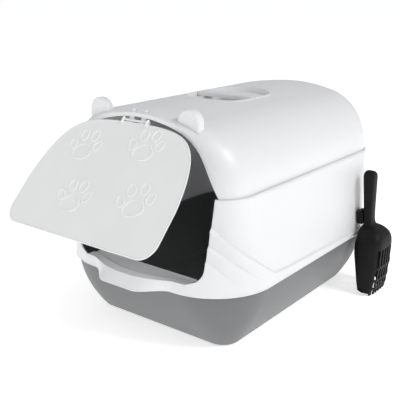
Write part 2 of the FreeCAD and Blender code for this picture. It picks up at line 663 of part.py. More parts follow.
def profile(sk, points):
    """Closed polygon through points given as expressions."""
    spots = [(size_of(sk, x), size_of(sk, z)) for x, z in points]
    count = len(spots)
    for k in range(count):
        line(sk, *spots[k], *spots[(k + 1) % count])
    for k, (x, z) in enumerate(points):
        tie(sk, ("Coincident", k, 2, (k + 1) % count, 1))
        fix(sk, "DistanceX", -1, 1, k, 1, x)
        fix(sk, "DistanceY", -1, 1, k, 1, z)


def bowl_points(inset, open_side):
    """Side view of the bowl as shares of its depth and length."""
    shares = ((0.02, 0.0), (0.0, 0.10), (0.0, 0.80), (0.10, 0.94), (0.28, 1.0),
              (0.72, 0.985), (0.95, 0.73), (1.0, 0.42), (0.86, 0.14), (0.34, 0.0))
    middle = (0.5, 0.5)
    rows = []
    for x, z in shares:
        dx = open_side if x < 0.1 else (inset if x < middle[0] else "-%s" % inset)
        dz = inset if z > middle[1] else "-%s" % inset
        rows.append(("%s + %s * dims.bowl_deep + (%s)" % (BACK, x, dx),
                     "%s - %s * dims.bowl_len + (%s)" % (NECK, z, dz)))
    return rows


sk = new_sketch(scoop, "side", "XZ_Plane", "-dims.scoop_y - dims.bowl_half_w")
profile(sk, bowl_points("0", "0"))
bowl = pad(scoop, sk, "2 * dims.bowl_half_w", "bowl")
bowl = round_edges(scoop, bowl, "7", "soft",
                   lambda edge, mid: abs(edge.BoundBox.YLength) < 0.01
                   and mid.x > size_of(sk, BACK) + 14)
sk = new_sketch(scoop, "hollow", "XZ_Plane", "-dims.scoop_y - dims.bowl_half_w + dims.bowl_wall")
profile(sk, bowl_points("dims.bowl_wall", "-5"))
pocket(scoop, sk, "2 * dims.bowl_half_w - 2 * dims.bowl_wall", "hollow_cut", reverse=True)
sk = new_sketch(scoop, "shaft", "XZ_Plane", "-dims.scoop_y - dims.shaft_half_w")
rounded_box(sk, BACK, "%s + dims.shaft_t" % BACK, "%s - 6" % NECK,
            "%s + dims.shaft_len" % NECK, "5")
shaft = pad(scoop, sk, "2 * dims.shaft_half_w", "shaft_pad")
sk = new_sketch(scoop, "catch", "XZ_Plane", "-dims.scoop_y - dims.hook_half_w + 5")
top = "dims.hook_z + dims.hook_half_h + dims.blade_fit"
profile(sk, [
    ("%s + 3" % BACK, top),
    ("%s + 3" % BACK, "%s + 5" % top),
    ("%s - dims.blade_t" % BLADE_X, "%s + 5" % top),
    ("%s - dims.blade_t" % BLADE_X, "dims.hook_z - dims.hook_half_h + 4.5"),
    (BLADE_X, "dims.hook_z - dims.hook_half_h + 4.5"),
    (BLADE_X, top),
])
pad(scoop, sk, "2 * dims.hook_half_w - 10", "catch_pad")
for row, (high, low) in enumerate(((0.26, 0.46), (0.53, 0.70), (0.76, 0.88), (0.93, 1.1))):
    sk = new_sketch(scoop, "slots%d" % row, "YZ_Plane", "%s + 0.5 * dims.bowl_deep" % BACK)
    y = "dims.scoop_y - 2.5 * dims.slot_pitch"
    rounded_box(sk, "%s - dims.slot_w / 2" % y, "%s + dims.slot_w / 2" % y,
                "%s - %s * dims.bowl_len" % (NECK, low), "%s - %s * dims.bowl_len" % (NECK, high),
                "dims.slot_w / 2 - 0.4")
    first = pocket(scoop, sk, "dims.bowl_deep", "slot%d" % row, reverse=True)
    repeat = scoop.newObject("PartDesign::LinearPattern", "slot_row%d" % row)
    repeat.Originals = [first]
    repeat.Direction = (sk, ["H_Axis"])
    repeat.setExpression("Length", "5 * dims.slot_pitch")
    repeat.Occurrences = 6
    scoop.Tip = repeat
    doc.recompute()


# ---------------------------------------------------------------- export
nodes = [tray, frame, hood, ears[0], ears[1], handle, clips[0], clips[1], pin, flap, holder, scoop]
for item in doc.Objects:
    if "Invalid" in item.State or "Error" in item.State:
        raise RuntimeError("%s: %s" % (item.Label, item.State))
os.makedirs("parts", exist_ok=True)
for node in nodes:
    shape = node.Shape
    if not shape.isValid() or len(shape.Solids) != 1:
        raise RuntimeError("%s: %d solids" % (node.Label, len(shape.Solids)))
    shape.exportStep("parts/%s.step" % node.Label)
    box = shape.BoundBox
    print(node.Label, round(shape.Volume), [round(v, 1) for v in
          (box.XMin, box.YMin, box.ZMin, box.XMax, box.YMax, box.ZMax)])
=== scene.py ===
import math
import bmesh
import bpy
import numpy as np
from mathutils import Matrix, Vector


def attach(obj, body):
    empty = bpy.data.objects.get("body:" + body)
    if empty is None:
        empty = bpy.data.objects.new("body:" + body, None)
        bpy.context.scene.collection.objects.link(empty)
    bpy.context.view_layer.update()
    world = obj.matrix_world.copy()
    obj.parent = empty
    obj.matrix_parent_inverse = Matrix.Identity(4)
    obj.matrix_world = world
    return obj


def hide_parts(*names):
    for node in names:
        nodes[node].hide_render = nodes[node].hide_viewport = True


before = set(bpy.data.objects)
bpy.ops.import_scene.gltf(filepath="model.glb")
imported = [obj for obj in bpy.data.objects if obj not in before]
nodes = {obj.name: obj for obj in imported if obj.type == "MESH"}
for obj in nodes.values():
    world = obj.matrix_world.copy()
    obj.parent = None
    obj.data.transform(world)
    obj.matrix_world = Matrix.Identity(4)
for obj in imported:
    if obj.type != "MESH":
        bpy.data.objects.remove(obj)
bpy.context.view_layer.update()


# ---------------------------------------------------------------- tray
# The litter pan is a grey injection moulding in satin polypropylene: a flat
# floor, round corners and walls that swell outward up to a seating rim, which
# the white frame hangs over.
TRAY_RIM_Z = 0.118
TRAY_WALL = 0.003
TRAY_FOOT_R = 0.005
TRAY_EDGE = 0.0015
GREY = (0.165, 0.167, 0.172)

# half width, half length and corner radius at the floor, the belly and the rim
TRAY_FLOOR_PLAN = (0.146, 0.201, 0.028)
TRAY_BELLY_PLAN = (0.182, 0.2445, 0.079)
TRAY_RIM_PLAN = (0.1955, 0.2655, 0.1075)


def corner_ring(half_w, half_l, radius, arc=20, side=14):
    """Level outline of a round-cornered rectangle, anticlockwise, one row per
    height: each corner is centre + radius * (cos, sin) over a quarter turn, and
    each side is an even blend between two corner ends."""
    w, l, r = (np.asarray(v, float)[:, None] for v in (half_w, half_l, radius))
    turn = np.linspace(0, math.pi / 2, arc)
    share = np.linspace(0, 1, side + 2)[1:-1]
    runs = []
    for k, (sx, sy) in enumerate(((1, 1), (-1, 1), (-1, -1), (1, -1))):
        a = turn + k * math.pi / 2
        x, y = sx * (w - r) + r * np.cos(a), sy * (l - r) + r * np.sin(a)
        runs.append((x, y))
    xs, ys = [], []
    for k, (x, y) in enumerate(runs):
        nx, ny = runs[(k + 1) % 4]
        xs += [x, x[:, -1:] + (nx[:, :1] - x[:, -1:]) * share]
        ys += [y, y[:, -1:] + (ny[:, :1] - y[:, -1:]) * share]
    return np.concatenate(xs, 1), np.concatenate(ys, 1)


def grid_faces(rows, cols, wrap=False, start=0):
    """Quads of a grid of points stored row by row, each joining a point to the
    next in its row and in the row above; wrap joins the last column to the first."""
    i, j = np.meshgrid(np.arange(rows - 1), np.arange(cols if wrap else cols - 1), indexing="ij")
    a, b = i * cols + j, i * cols + (j + 1) % cols
    return start + np.stack([a, b, b + cols, a + cols], -1).reshape(-1, 4)


def stack(*grids):
    """Joins grids, each (points[rows, cols, 3], wrap), into one list of points and quads."""
    points, faces, start = [], [], 0
    for p, wrap in grids:
        points.append(p.reshape(-1, 3))
        faces.append(grid_faces(p.shape[0], p.shape[1], wrap, start))
        start += p.shape[0] * p.shape[1]
    return np.concatenate(points), np.concatenate(faces)


def add_mesh(name, points, faces, merge=1e-5):
    """One smooth object from stacked points and quads, with doubles merged and
    creases over 32 degrees kept sharp."""
    mesh = bpy.data.meshes.new(name)
    mesh.from_pydata(np.asarray(points, float).reshape(-1, 3).tolist(), [], faces.tolist())
    piece = bpy.data.objects.new(name, mesh)
    bpy.context.collection.objects.link(piece)
    shape = bmesh.new()
    shape.from_mesh(mesh)
    bmesh.ops.remove_doubles(shape, verts=shape.verts, dist=merge)
    bmesh.ops.dissolve_degenerate(shape, edges=shape.edges, dist=merge)
    shape.to_mesh(mesh)
    shape.free()
    mesh.shade_smooth()
    mesh.set_sharp_from_angle(angle=math.radians(32))
    return piece


def new_plastic(name):
    """An empty plastic: its material, shader and object coordinates."""
    mat = bpy.data.materials.new(name)
    mat.use_nodes = True
    tree = mat.node_tree
    coords = tree.nodes.new("ShaderNodeTexCoord").outputs["Object"]
    return mat, tree.nodes["Principled BSDF"], coords


def drift(shader, coords, scale, detail, low, high, span):
    """Cloudy colour drift: noise through a two-stop ramp into the base colour."""
    tree = shader.id_data
    cloud = tree.nodes.new("ShaderNodeTexNoise")
    cloud.inputs["Scale"].default_value = scale
    cloud.inputs["Detail"].default_value = detail
    tree.links.new(coords, cloud.inputs["Vector"])
    tint = tree.nodes.new("ShaderNodeValToRGB")
    for stop, place, colour in zip(tint.color_ramp.elements, span, (low, high)):
        stop.position = place
        stop.color = (*colour, 1)
    tree.links.new(cloud.outputs["Fac"], tint.inputs["Fac"])
    tree.links.new(tint.outputs["Color"], shader.inputs["Base Color"])


def texture(shader, coords, grain, smoothest, roughest, strength, depth):
    """Fine moulded texture: one noise spread between two roughnesses, and the
    same noise as a bump of the given depth in metres."""
    tree = shader.id_data
    fine = tree.nodes.new("ShaderNodeTexNoise")
    fine.inputs["Scale"].default_value = grain
    fine.inputs["Detail"].default_value = 2.0
    tree.links.new(coords, fine.inputs["Vector"])
    spread = tree.nodes.new("ShaderNodeMapRange")
    spread.inputs["To Min"].default_value = smoothest
    spread.inputs["To Max"].default_value = roughest
    tree.links.new(fine.outputs["Fac"], spread.inputs["Value"])
    tree.links.new(spread.outputs["Result"], shader.inputs["Roughness"])
    relief = tree.nodes.new("ShaderNodeBump")
    relief.inputs["Strength"].default_value = strength
    relief.inputs["Distance"].default_value = depth
    tree.links.new(fine.outputs["Fac"], relief.inputs["Height"])
    tree.links.new(relief.outputs["Normal"], shader.inputs["Normal"])


def moulded(name, colour, rough, grain=900.0, mottle=0.03, shine=0.5, glow=0.0):
    """Solid injection-moulded plastic: a drift of the share mottle round the
    colour, fine texture, and glow as the share of light that spreads inside."""
    mat, shader, coords = new_plastic(name)
    shader.inputs["Specular IOR Level"].default_value = shine
    shader.inputs["Subsurface Weight"].default_value = glow
    shader.inputs["Subsurface Radius"].default_value = (1.0, 1.0, 1.0)
    shader.inputs["Subsurface Scale"].default_value = 0.004
    low = [c * (1 - mottle) for c in colour]
    high = [min(1.0, c * (1 + mottle)) for c in colour]
    drift(shader, coords, 9.0, 3.0, low, high, (0.35, 0.65))
    texture(shader, coords, grain, rough - 0.05, rough + 0.07, 0.05, 0.0004)
    return mat


def pan_wall(z, inset):
    """Half width, half length and corner radius of the pan at height z: one
    parabola in z through the floor, belly and rim plans, less the inset."""
    t = z / TRAY_RIM_Z
    foot, belly, rim = (1 - t) * (1 - 2 * t), 4 * t * (1 - t), t * (2 * t - 1)
    w, l, r = (
        a * foot + b * belly + c * rim
        for a, b, c in zip(TRAY_FLOOR_PLAN, TRAY_BELLY_PLAN, TRAY_RIM_PLAN)
    )
    return w - inset, l - inset, np.maximum(r - inset, 0.004)


def pan_rings(z, inset):
    """Level rings of points on the pan wall, one for each height and inset."""
    z = np.asarray(z, float)
    x, y = corner_ring(*pan_wall(z, np.asarray(inset, float)))
    return np.stack([x, y, np.broadcast_to(z[:, None], x.shape)], -1)


foot_turn = np.linspace(0, math.pi / 2, 6)
foot_rise, foot_inset = 1 - np.cos(foot_turn), 1 - np.sin(foot_turn)
outside = pan_rings(
    np.concatenate([TRAY_FOOT_R * foot_rise, np.linspace(0.009, TRAY_RIM_Z - TRAY_EDGE, 30)]),
    np.concatenate([TRAY_FOOT_R * foot_inset, np.zeros(30)]),
)
brim = pan_rings([TRAY_RIM_Z, TRAY_RIM_Z], [0.001, TRAY_WALL - 0.001])
inside = pan_rings(np.linspace(TRAY_RIM_Z - TRAY_EDGE, 0.008, 26), np.full(26, TRAY_WALL))
bed = pan_rings(TRAY_WALL + TRAY_FOOT_R * foot_inset, TRAY_WALL + TRAY_FOOT_R * foot_rise)
shares = np.array([0.0, 0.12, 0.5, 0.9])[:, None, None]
under = outside[:1] * shares
draw_in = shares[::-1]
floor_in = bed[-1:] * np.concatenate([draw_in, draw_in, np.ones_like(draw_in)], -1)
tray_skin = np.concatenate([under, outside, brim, inside, bed, floor_in])
points, faces = stack((tray_skin, True))
tray = add_mesh("litter_tray", points, faces)
grey_plastic = moulded("grey_polypropylene", GREY, 0.42)
tray.data.materials.append(grey_plastic)
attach(tray, "tray")
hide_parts("tray")


# ---------------------------------------------------------------- lower frame
# The middle shell is one white polypropylene moulding that drops over the tray
# rim. Its walls carry slanting terraces from the entry down to a groove, its
# front swells into a porch, and a flat sill crosses the entry.
RIM_Z, SILL_Z, SEAM_Z = 0.111, 0.130, 0.269
DOOR_SPAN, SILL_R = 0.140, 0.030
FRAME_WALL = 0.003
SIDE_COLS, FRONT_COLS = 120, 40
WHITE = (0.80, 0.80, 0.81)

# half width, half length and corner radius at the rim, and how much less at the seam
FRAME_RIM_PLAN = (0.200, 0.270, 0.112)
FRAME_DRAW_IN = (0.0165, 0.0215, 0.0565)

# distance round the wall from the entry to the middle of the back, as drawn
WALL_RUN = 0.69

# foot of the wall, where the bottom band starts: along the side, and its extra
# height and reach beside the entry
FOOT_Z, FOOT_LIFT, FOOT_REACH = 0.1136, 0.0154, 0.10

# bottom band: the height where it turns into the hem, and the hem's rings
BAND_LOW = 0.1134
HEM_Z = (0.1131, 0.1127, 0.1123, 0.1119, 0.1115, 0.1112, 0.1110)
BEAD_Z, BEAD_OUT, BEAD_HALF = 0.1121, 0.0008, 0.0006
HEM_END, HEM_IN = 0.1111, 0.0004

# sill: where it ends inside, how far it dishes, and the step down to the tray
SILL_BACK_Y, SILL_DISH, SILL_STEP, SILL_CURL = -0.233, 0.0020, 0.0028, 0.006


def frame_plan(z):
    """Half width, half length and corner radius of the frame at height z,
    straight from rim to seam."""
    t = (z - RIM_Z) / (SEAM_Z - RIM_Z)
    return tuple(rim - less * t for rim, less in zip(FRAME_RIM_PLAN, FRAME_DRAW_IN))


def along_wall(z, s):
    """Point and outward direction on the right half of the frame outline, a
    distance s from the middle of the front: front line, quarter arc, side
    line, quarter arc, back line."""
    w, l, r = frame_plan(z)
    front, arc, side = w - r, r * math.pi / 2, 2 * (l - r)
    a = np.clip(s - front, 0, arc) / r
    b = np.clip(s - front - arc - side, 0, arc) / r
    run_y = np.clip(s - front - arc, 0, side)
    x = np.minimum(s, front) + r * np.sin(a) - r * (1 - np.cos(b))
    x = x - np.clip(s - front - 2 * arc - side, 0, None)
    y = -l + r * (1 - np.cos(a)) + run_y + r * np.sin(b)
    turn = a + b
    return x, y, np.sin(turn), -np.cos(turn)


def half_length(z):
    """Length of the right half of the frame outline at height z: the two half
    ends, two quarter arcs and the side."""
    w, l, r = frame_plan(z)
    return 2 * (w - r) + math.pi * r + 2 * (l - r)


def entry_edge(z):
    """Distance of the entry edge from the middle of the front: a sill corner
    of radius 30 mm, then a side that leans out to the seam. Past the flat
    front, the width is turned into a length of the corner arc."""
    low = DOOR_SPAN - SILL_R + np.sqrt(np.maximum(SILL_R**2 - (SILL_Z + SILL_R - z) ** 2, 0))
    lean = DOOR_SPAN + 0.0987 * (z - SILL_Z - SILL_R)
    x = np.where(z < SILL_Z + SILL_R, low, lean)
    w, l, r = frame_plan(z)
    bend = r * np.arcsin(np.clip((x - (w - r)) / r, 0, 1))
    return np.where(x < w - r, x, w - r + bend)


def sag(a, b, width):
    """The higher of two lines, with the corner between them rounded over the width."""
    return (a + b) / 2 + np.sqrt(((a - b) / 2) ** 2 + width**2)


def porch(x, y, z):
    """How far the porch stands out of the front: at the rim a raised-cosine
    bulge 35 mm deep that ends at 86 mm, at the sill a parabola 23 mm deep with
    its foot rounded, blended by height."""
    t = np.clip((z - RIM_Z) / (SILL_Z - RIM_Z), 0, 1) ** 0.85
    rim = 0.035 * 0.5 * (1 + np.cos(math.pi * np.clip((np.abs(x) - 0.030) / 0.056, 0, 1)))
    sill = 0.0228 - 3.1 * x**2
    sill = 0.5 * (sill + np.sqrt(sill**2 + 0.0022**2)) - 0.0004
    return (rim * (1 - t) + sill * t) * (y < 0)


def both_sides(grid):
    """The grid and its mirror image, turned so that its faces still point outward."""
    other = grid[:, ::-1] * np.array([-1, 1, 1])
    return (grid, False), (other, False)


u = np.linspace(0, 1, SIDE_COLS) ** 1.35
reach = u * WALL_RUN
foot_z = FOOT_Z + FOOT_LIFT * np.clip(1 - reach / FOOT_REACH, 0, 1) ** 2
side_line = np.maximum(0.1295 - 0.033 * (reach - 0.131), 0.1200)
terraces = (
    # height of the ledge's line, how far the wall above it stands back, height
    # of the ledge, rows of that wall, and how much of it is left along the wall
    (sag(0.2245 - 0.72 * reach, side_line, 0.0030), 0.0070, 0.0066, 24,
     0.42 + 0.58 * np.clip(1.1 - reach / 0.115, 0, 1)),
    (0.1955 - 0.55 * reach - 1.6 * reach**2, 0.0058, 0.0058, 8,
     np.clip(1.25 - reach / 0.074, 0, 1)),
    (0.1712 - 0.62 * reach - 2.6 * reach**2, 0.0044, 0.0038, 7,
     np.clip(1.35 - reach / 0.046, 0, 1)),
)
MIN_LEDGE, MIN_SPACING = 0.0004, 0.35
rows_z, rows_in = [], []
above = np.full(SIDE_COLS, SEAM_Z)
for k, (line_z, step, drop, count, fade) in enumerate(terraces):
    if k:
        line_z = np.maximum(line_z, foot_z + MIN_SPACING * (above - foot_z))
    for t in np.linspace(0, 1, count)[(0 if k == 0 else 1):]:
        rows_z.append(above + (line_z - above) * t)
        rows_in.append(step * fade * t**0.8)
    after = line_z - np.maximum(drop * fade, MIN_LEDGE)
    for t in (0.12, 0.5, 0.88, 1.0):
        rows_z.append(line_z + (after - line_z) * t)
        rows_in.append(step * fade * (1 - t * t * (3 - 2 * t)))
    above = after
for t in np.linspace(0, 1, 7)[1:]:
    rows_z.append(above + (foot_z - above) * t)
    rows_in.append(np.zeros(SIDE_COLS))
wall_z, wall_in = np.array(rows_z), np.array(rows_in)
row_start = entry_edge(wall_z[:, :1])
s = row_start + u * (half_length(wall_z) - row_start)
x, y, nx, ny = along_wall(wall_z, s)
wall = np.stack([x - nx * wall_in, y - ny * wall_in - porch(x, y, wall_z), wall_z], -1)

front = np.linspace(0, 1, FRONT_COLS)[:-1]
front_count = len(front)
share = np.linspace(0, 1, 9)[:, None]
band_top = np.concatenate([np.full(front_count, foot_z[0]), foot_z])
hem_rows = np.array(HEM_Z)[:, None] + 0 * band_top[None]
band_z = np.concatenate([band_top + (BAND_LOW - band_top) * share, hem_rows])
band_start = entry_edge(foot_z[:1])[0]
s_side = band_start + u * (half_length(band_z[:, front_count:]) - band_start)
s_side = np.where(np.arange(len(band_z))[:, None] == 0, s[-1], s_side)
s_front = np.broadcast_to(front * band_start, (len(band_z), front_count))
x, y, nx, ny = along_wall(band_z, np.concatenate([s_front, s_side], 1))
hem = BEAD_OUT * np.exp(-(((band_z - BEAD_Z) / BEAD_HALF) ** 2)) - HEM_IN * (band_z < HEM_END)
band = np.stack([x + nx * hem, y + ny * hem - porch(x, y, band_z), band_z], -1)

t = np.linspace(0, 1, 22)[:, None]
lip_x, lip_y = band[0, :front_count + 1, 0], band[0, :front_count + 1, 1]
sill_y = lip_y + (SILL_BACK_Y - lip_y) * t
step_at = 0.5 + 0.5 * np.tanh((t - 0.42 - 0.25 * (lip_x / 0.12) ** 2) * 26)
sill_z = foot_z[0] - SILL_DISH * np.sin(math.pi * t) ** 0.5 - SILL_STEP * step_at
sill_z = np.where(t <= 0, foot_z[0], sill_z)
sill = np.stack([lip_x + 0 * t, sill_y, sill_z], -1)
curl_y = np.full((1, len(lip_x)), SILL_BACK_Y - 0.0005)
curl = np.stack([lip_x[None], curl_y, sill_z[-1:] - SILL_CURL], -1)
sill = np.concatenate([sill, curl])

points, faces = stack(*both_sides(wall[::-1]), *both_sides(band[::-1]), *both_sides(sill))
shell = add_mesh("frame_shell", points, faces, merge=2e-5)
shell_wall = shell.modifiers.new("wall", "SOLIDIFY")
shell_wall.thickness = FRAME_WALL
shell_wall.offset = -1
shell_wall.use_even_offset = False
white_plastic = moulded("white_polypropylene", WHITE, 0.36, mottle=0.008, glow=0.4)
shell.data.materials.append(white_plastic)
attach(shell, "lower_frame")
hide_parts("lower_frame")


# ---------------------------------------------------------------- hood and ears
# The arched hood is one white polypropylene moulding that rests on the frame,
# with a dish for the hand in its crown. The two ears are small rounded pieces
# of the same plastic, fixed at its front edge.
def paint(name, plastic):
    """Gives a piece that keeps the frame's own shape its one plastic."""
    nodes[name].data.materials.clear()
    nodes[name].data.materials.append(plastic)


paint("upper_hood", white_plastic)
paint("ear_left", white_plastic)
paint("ear_right", white_plastic)


# ---------------------------------------------------------------- carry handle
# The grip bar is a white polypropylene strip that crosses the dish in the
# crown of the hood, with room under it for the fingers.
paint("carry_handle", white_plastic)


# ---------------------------------------------------------------- hinge pin and clips
# A thin white rod is the axis of the flap. Two white hooks hold it under the
# lip of the hood: each is a bent strip whose tail snaps through the roof and
# whose mouth is open to the front.
CLIP_X, PIN_Y, PIN_Z = 0.0127, -0.248, 0.372
HOOK_R = 0.0033
HOOK_HALF_WIDE, TAIL_HALF_WIDE, TAIL_END_WIDE = 0.0055, 0.0052, 0.0030
CLIP_HALF_THICK, CLOSED = 0.00105, 0.00005


def boxed(wave, power):
    """A sine or cosine raised to a power with its sign kept, which turns a
    circle into a rounded box: the smaller the power, the squarer."""
    return np.sign(wave) * np.abs(wave) ** power


def bent_strip(middle_x, path, half_wide, half_thick):
    """Strip carried along a path in the y-z plane: each path point plus a
    rounded box of (half width across, half thickness along the path normal)."""
    step = np.gradient(path, axis=0)
    step /= np.linalg.norm(step, axis=1)[:, None]
    a = np.linspace(0, 2 * math.pi, 20, endpoint=False)
    box_x, box_n = boxed(np.cos(a), 0.35), boxed(np.sin(a), 0.5)
    wide, thick = half_wide[:, None], half_thick[:, None]
    y = path[:, :1] - step[:, 1:] * thick * box_n
    z = path[:, 1:] + step[:, :1] * thick * box_n
    return np.stack([middle_x + wide * box_x, y, z], -1)


paint("hinge_pin", white_plastic)
hook_turn = np.radians(np.linspace(-150, 20, 22))
hook_y = PIN_Y + HOOK_R * np.cos(hook_turn)
hook_z = PIN_Z + HOOK_R * np.sin(hook_turn)
tail_y = np.array([-0.2436, -0.2420, -0.2405, -0.2395, -0.2388, -0.2384, -0.2382])
tail_z = np.array([0.3755, 0.3785, 0.3815, 0.3840, 0.3862, 0.3885, 0.3900])
clip_path = np.stack([np.concatenate([hook_y, tail_y]), np.concatenate([hook_z, tail_z])], -1)
tail_wide = np.linspace(TAIL_HALF_WIDE, TAIL_END_WIDE, 6)
clip_wide = np.concatenate([[CLOSED], np.full(21, HOOK_HALF_WIDE), tail_wide, [CLOSED]])
clip_thick = np.concatenate([[CLOSED], np.full(27, CLIP_HALF_THICK), [CLOSED]])
for side_x, name in ((-CLIP_X, "hinge_clip_left"), (CLIP_X, "hinge_clip_right")):
    points, faces = stack((bent_strip(side_x, clip_path, clip_wide, clip_thick), True))
    clip = add_mesh(name.replace("clip", "hook"), points, faces)
    clip.data.materials.append(white_plastic)
    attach(clip, "upper_hood")
    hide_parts(name)


# ---------------------------------------------------------------- scoop holder
# The holder is a small black polypropylene hook that clips onto the right wall
# of the frame, with a slot that the scoop's blade drops into.
BLACK = (0.007, 0.007, 0.0065)
black_plastic = moulded("black_polypropylene", BLACK, 0.50, grain=700.0, mottle=0.05, shine=0.16)
paint("scoop_holder", black_plastic)


# ---------------------------------------------------------------- scoop
# The litter scoop is one black polypropylene moulding: a deep bowl that sifts
# through rows of slots between cross bands, with teeth at its mouth and a flat
# grip that rises from its neck. A blade behind the neck drops into the holder.
SCOOP_Y, BOWL_HALF, NECK_HALF, NECK_Z = 0.169, 0.041, 0.0125, 0.134
BOWL_WALL = 0.0024
TOOTH_PITCH, TOOTH_WIDE = 0.0112, 0.0050
BOX_POWER = 4.4
TOOTH_END_Z = 0.0045
RIB = 0.0012
GRIP_Z, GRIP_TOP, GRIP_CAP, GRIP_HALF = 0.118, 0.2265, 0.0132, 0.0115
BLADE_HALF_WIDE, BLADE_HALF_THICK = 0.0065, 0.0015

# stretches of the bowl from the mouth up: lowest and highest point, rows of
# faces, and whether it is cut through between the teeth
BOWL_RUNS = (
    (0.0010, 0.0125, 4, "teeth"),
    (0.0125, 0.0160, 2, "band"),
    (0.0160, 0.0290, 3, "slots"),
    (0.0290, 0.0330, 2, "band"),
    (0.0330, 0.0550, 4, "slots"),
    (0.0550, 0.0600, 2, "band"),
    (0.0600, 0.0940, 6, "slots"),
    (0.0940, 0.1200, 12, "plain"),
    (0.1200, 0.1310, 9, "plain"),
    (0.1310, NECK_Z, 6, "plain"),
)

# heights where the raised cross bands start and end, and their share of RIB
RIB_Z = (0.0120, 0.0126, 0.0159, 0.0166, 0.0284, 0.0290,
         0.0330, 0.0336, 0.0544, 0.0550, 0.0600, 0.0606)
RIB_SHARE = (0, 1, 1, 0, 0, 1, 1, 0, 0, 1, 1, 0)

# the blade's stations: x, z, share of its full section, and how far its faces
# part in height as it bends towards the neck
BLADE_PATH = (
    (0.2040, 0.1388, 0.02, 0),
    (0.2040, 0.1388, 1, 0),
    (0.2040, 0.1600, 1, 0),
    (0.2055, 0.1622, 1, 0.0012),
    (0.2100, 0.1622, 1, 0.0015),
    (0.2140, 0.1605, 1, 0.0015),
)


def bowl_plan(z):
    """Half width, lip and floor of the bowl at height z. The half width and the
    floor close in to the neck by a power of one less a power of the share of
    height; the floor also draws in to the mouth, and the lip leans out on
    both sides of the height 86 mm."""
    s = np.clip((z - 0.096) / (NECK_Z - 0.096), 0, 1)
    t = np.clip((z - 0.090) / (NECK_Z - 0.090), 0, 1)
    half = NECK_HALF + (BOWL_HALF - NECK_HALF) * (1 - s**2.2) ** 0.7
    to_mouth = np.clip((0.090 - z) / 0.090, 0, 1)
    sole = 0.2245 + 0.0325 * (1 - t**3.2) ** 0.55 - 0.010 * to_mouth**1.6
    lip = 0.209 + 0.145 * np.clip(0.086 - z, 0, 1) + 0.026 * np.clip(z - 0.086, 0, 1)
    return half, lip, sole


tooth = np.arange(-3, 4)[:, None] * TOOTH_PITCH + np.array([-0.5, 0.5]) * TOOTH_WIDE
tooth_turn = np.arcsin(boxed((tooth / BOWL_HALF).ravel(), BOX_POWER / 2))
cheek = np.linspace(-math.pi / 2, tooth_turn[0], 16)[:-1]
turn = np.concatenate([cheek, tooth_turn, -cheek[::-1]])
first_tooth = len(cheek)
row_z = np.concatenate([np.linspace(a, b, n + 1)[:-1] for a, b, n, kind in BOWL_RUNS] + [[NECK_Z]])
row_kind = np.concatenate([[kind] * n for a, b, n, kind in BOWL_RUNS])
half, lip, sole = (v[:, None] for v in bowl_plan(row_z))
rib = np.interp(row_z, RIB_Z, RIB_SHARE)[:, None] * RIB
side = boxed(np.sin(turn), 2 / BOX_POWER)
deep = np.maximum(np.cos(turn), 0) ** (2 / BOX_POWER)
on_cheek = deep < deep[first_tooth] - 1e-6
bowl_z = np.where(on_cheek, np.maximum(row_z, TOOTH_END_Z)[:, None], row_z[:, None])
near_mouth = np.clip(1 - row_z[:, None] / 0.03, 0, 1)
bowl_z = bowl_z + 0.007 * np.abs(side) ** 12 * (1 - deep) * near_mouth
bowl_x = lip + (sole - lip + rib * (deep > 0.7)) * deep
bowl = np.stack([bowl_x, SCOOP_Y + half * side, bowl_z], -1)
quads = grid_faces(*bowl.shape[:2]).reshape(len(row_z) - 1, len(turn) - 1, 4)
gap = np.zeros(len(turn) - 1, bool)
gap[first_tooth + 1:first_tooth + 13:2] = True
cut_rows = (row_kind == "slots") | (row_kind == "teeth")
scoop_bowl = add_mesh("scoop_bowl", bowl, quads[~(cut_rows[:, None] & gap)])
bowl_wall = scoop_bowl.modifiers.new("wall", "SOLIDIFY")
bowl_wall.thickness = BOWL_WALL
bowl_wall.offset = -1

grip_turn = np.linspace(0, 2 * math.pi, 48, endpoint=False)
end_turn = np.linspace(0, math.pi / 2, 12)[1:]
grip_z = np.concatenate([np.linspace(GRIP_Z, GRIP_TOP, 24), GRIP_TOP + GRIP_CAP * np.sin(end_turn)])
taper = np.concatenate([np.ones(24), np.cos(end_turn)])[:, None]
flare = 0.006 * np.exp(-np.maximum(grip_z - 0.130, 0) / 0.006)
back_x, front_x = 0.2096 - 0.083 * (grip_z - 0.135), 0.2250 + flare
middle, thick = ((back_x + front_x) / 2)[:, None], ((front_x - back_x) / 2)[:, None]
flank, breadth = boxed(np.cos(grip_turn), 0.48), boxed(np.sin(grip_turn), 0.48)
grip_y = SCOOP_Y + (GRIP_HALF + flare[:, None]) * taper * breadth
grip = np.stack(
    [middle + thick * np.sqrt(taper) * flank, grip_y, grip_z[:, None] + 0 * flank], -1
)
low_cap = grip[:1] + (grip[:1].mean(1, keepdims=True) - grip[:1]) * 0.999
blade_turn = np.linspace(0, 2 * math.pi, 24, endpoint=False)
blade_y = SCOOP_Y + BLADE_HALF_WIDE * boxed(np.cos(blade_turn), 0.4)
blade_x = BLADE_HALF_THICK * boxed(np.sin(blade_turn), 0.4)
blade = np.array([
    np.stack([
        x + blade_x * k,
        SCOOP_Y + (blade_y - SCOOP_Y) * k,
        z + 0 * blade_x + part * blade_x / BLADE_HALF_THICK,
    ], -1)
    for x, z, k, part in BLADE_PATH
])
points, faces = stack((np.concatenate([low_cap, grip]), True), (blade, True))
scoop_grip = add_mesh("scoop_grip", points, faces)
for piece in (scoop_bowl, scoop_grip):
    piece.data.materials.append(black_plastic)
    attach(piece, "scoop")
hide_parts("scoop")
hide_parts("scoop")


